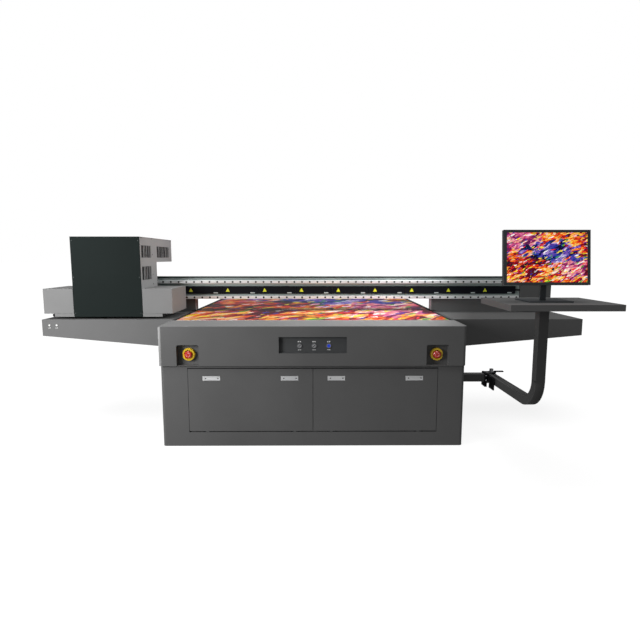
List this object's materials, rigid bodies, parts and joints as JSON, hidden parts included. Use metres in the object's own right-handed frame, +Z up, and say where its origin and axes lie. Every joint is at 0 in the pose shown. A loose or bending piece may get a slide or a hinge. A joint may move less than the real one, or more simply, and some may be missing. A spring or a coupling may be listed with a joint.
{
  "type": "flatbed uv printer",
  "caption": "Flatbed UV inkjet printer: vacuum bed on a cabinet, moving gantry with tapered wings, lifting print carriage, monitor on a swinging arm.",
  "frame": {"origin": "on the floor, at the centre of the rectangle of anchor holes, which is the centre of the table in plan", "axes": "+Z up, +Y from the front apron to the back, +X to the operator's right"},
  "size_m": [4.1, 4.45, 1.449],
  "materials": {
    "cabinet_paint": "fine texture powder coat, dark grey",
    "frame_paint": "satin",
    "zinc_steel": "zinc plated",
    "ledge_paint": "fine texture powder coat, light grey",
    "bed_aluminium": "satin",
    "board_print": "printed board",
    "rail_steel": "ground",
    "pipe_plastic": "satin",
    "box_paint": "satin",
    "coolant_paint": "satin",
    "ink_plastic": "satin",
    "panel_paint": "satin",
    "bright_metal": "polished",
    "guard_yellow": "gloss",
    "estop_red": "gloss",
    "latch_metal": "satin",
    "button_metal": "satin",
    "button_blue": "lit blue",
    "beam_metal": "machined, grey-green anodised",
    "magnet_cover": "black",
    "gantry_paint": "satin",
    "wing_paint": "fine texture powder coat",
    "left_wing_paint": "fine texture powder coat",
    "lamp_black": "black anodised",
    "base_plate_grey": "grey anodised",
    "cap_rubber": "matte",
    "button_white": "gloss",
    "cover_dark": "satin, near black green",
    "carriage_grey": "fine texture powder coat, mid grey",
    "black_metal": "satin",
    "head_plastic": "matte",
    "arm_paint": "satin",
    "tray_paint": "satin",
    "monitor_plastic": "fine texture",
    "screen_glass": "glossy"
  },
  "bodies": {
    "base": {"frame_long_tubes": "frame_paint", "frame_posts": "frame_paint", "levelling_feet": "zinc_steel", "cabinet_front": "cabinet_paint", "cabinet_panels": "cabinet_paint", "front_apron": "cabinet_paint", "bed_border": "ledge_paint", "vacuum_bed": "bed_aluminium", "printed_board": "board_print", "side_rails": "rail_steel", "vacuum_blower": "pipe_plastic", "electrical_box": "box_paint", "coolant_unit": "coolant_paint", "ink_bottles": "ink_plastic", "power_inlet": "ink_plastic", "control_panel": "panel_paint", "button_bezels": "bright_metal", "estop_guards": "guard_yellow", "door_hinges": "zinc_steel", "arm_bracket": "arm_paint"},
    "left_door": {"left_door": "cabinet_paint"},
    "right_door": {"right_door": "cabinet_paint"},
    "latch_1": {"latch_1": "latch_metal"},
    "latch_2": {"latch_2": "latch_metal"},
    "latch_3": {"latch_3": "latch_metal"},
    "latch_4": {"latch_4": "latch_metal"},
    "button_1": {"button_1": "button_metal"},
    "button_2": {"button_2": "button_metal"},
    "button_3": {"button_3": "button_blue"},
    "left_estop": {"left_estop": "estop_red"},
    "right_estop": {"right_estop": "estop_red"},
    "gantry": {"beam": "beam_metal", "beam_rails": "rail_steel", "magnet_track": "magnet_cover", "gantry_sides": "gantry_paint", "side_runners": "rail_steel", "left_wing": "left_wing_paint", "right_wing": "wing_paint", "beam_end_boxes": "gantry_paint", "cap_station": "bed_aluminium"},
    "cap_tray": {"cap_tray": "cap_rubber"},
    "wing_button_1": {"wing_button_1": "button_white"},
    "wing_button_2": {"wing_button_2": "button_white"},
    "saddle": {"saddle_plate": "bed_aluminium", "beam_runners": "rail_steel", "lift_motors": "black_metal"},
    "carriage": {"carriage_back_plate": "bed_aluminium", "head_base_plate": "base_plate_grey", "print_heads": "head_plastic", "lamp_housings": "carriage_grey", "uv_lamps": "lamp_black", "carriage_front_cover": "cover_dark", "carriage_side_covers": "carriage_grey", "carriage_top_cover": "carriage_grey"},
    "arm": {"bent_arm": "tray_paint", "tray": "tray_paint", "monitor_stand": "monitor_plastic"},
    "clamp_lever": {"clamp_lever": "bright_metal"},
    "monitor": {"monitor_shell": "monitor_plastic", "monitor_screen": "screen_glass"}
  },
  "joints": [
    {"name": "gantry_travel", "type": "slide", "parent": "base", "child": "gantry", "axis": [0, 1, 0], "range_m": [-0.3, 2.5]},
    {"name": "carriage_travel", "type": "slide", "parent": "gantry", "child": "saddle", "axis": [1, 0, 0], "range_m": [0, 3]},
    {"name": "carriage_lift", "type": "slide", "parent": "saddle", "child": "carriage", "axis": [0, 0, 1], "range_m": [0, 0.1]},
    {"name": "cap_lift", "type": "slide", "parent": "gantry", "child": "cap_tray", "axis": [0, 0, 1], "range_m": [0, 0.02]},
    {"name": "left_door_hinge", "type": "hinge", "parent": "base", "child": "left_door", "pos_m": [-0.425, -1.8295, 0.1025], "axis": [1, 0, 0], "range_deg": [0, 90]},
    {"name": "right_door_hinge", "type": "hinge", "parent": "base", "child": "right_door", "pos_m": [0.425, -1.8295, 0.1025], "axis": [1, 0, 0], "range_deg": [0, 90]},
    {"name": "latch_1_hinge", "type": "hinge", "parent": "left_door", "child": "latch_1", "pos_m": [-0.7465, -1.8303, 0.478], "axis": [0, 0, -1], "range_deg": [0, 35], "stiffness_Nm_per_rad": 0.1},
    {"name": "latch_2_hinge", "type": "hinge", "parent": "left_door", "child": "latch_2", "pos_m": [-0.2145, -1.8303, 0.478], "axis": [0, 0, -1], "range_deg": [0, 35], "stiffness_Nm_per_rad": 0.1},
    {"name": "latch_3_hinge", "type": "hinge", "parent": "right_door", "child": "latch_3", "pos_m": [0.1035, -1.8303, 0.478], "axis": [0, 0, -1], "range_deg": [0, 35], "stiffness_Nm_per_rad": 0.1},
    {"name": "latch_4_hinge", "type": "hinge", "parent": "right_door", "child": "latch_4", "pos_m": [0.6355, -1.8303, 0.478], "axis": [0, 0, -1], "range_deg": [0, 35], "stiffness_Nm_per_rad": 0.1},
    {"name": "button_1_press", "type": "slide", "parent": "base", "child": "button_1", "axis": [0, 1, 0], "range_m": [0, 0.003], "stiffness_N_per_m": 500},
    {"name": "button_2_press", "type": "slide", "parent": "base", "child": "button_2", "axis": [0, 1, 0], "range_m": [0, 0.003], "stiffness_N_per_m": 500},
    {"name": "button_3_press", "type": "slide", "parent": "base", "child": "button_3", "axis": [0, 1, 0], "range_m": [0, 0.003], "stiffness_N_per_m": 500},
    {"name": "left_estop_press", "type": "slide", "parent": "base", "child": "left_estop", "axis": [0, 1, 0], "range_m": [0, 0.006], "stiffness_N_per_m": 900},
    {"name": "right_estop_press", "type": "slide", "parent": "base", "child": "right_estop", "axis": [0, 1, 0], "range_m": [0, 0.006], "stiffness_N_per_m": 900},
    {"name": "wing_button_1_press", "type": "slide", "parent": "gantry", "child": "wing_button_1", "axis": [0, 1, 0], "range_m": [0, 0.003], "stiffness_N_per_m": 400},
    {"name": "wing_button_2_press", "type": "slide", "parent": "gantry", "child": "wing_button_2", "axis": [0, 1, 0], "range_m": [0, 0.003], "stiffness_N_per_m": 400},
    {"name": "arm_swivel", "type": "hinge", "parent": "base", "child": "arm", "pos_m": [1.318, -1.55, 0.415], "axis": [0, 0, 1], "range_deg": [-15, 40]},
    {"name": "clamp_turn", "type": "hinge", "parent": "base", "child": "clamp_lever", "pos_m": [1.318, -1.55, 0.46], "axis": [0, 0, 1], "range_deg": [0, 60]},
    {"name": "monitor_tilt", "type": "hinge", "parent": "arm", "child": "monitor", "pos_m": [1.291, -2.373, 1.293], "axis": [-1, 0, 0], "range_deg": [-12, 13]}
  ]
}
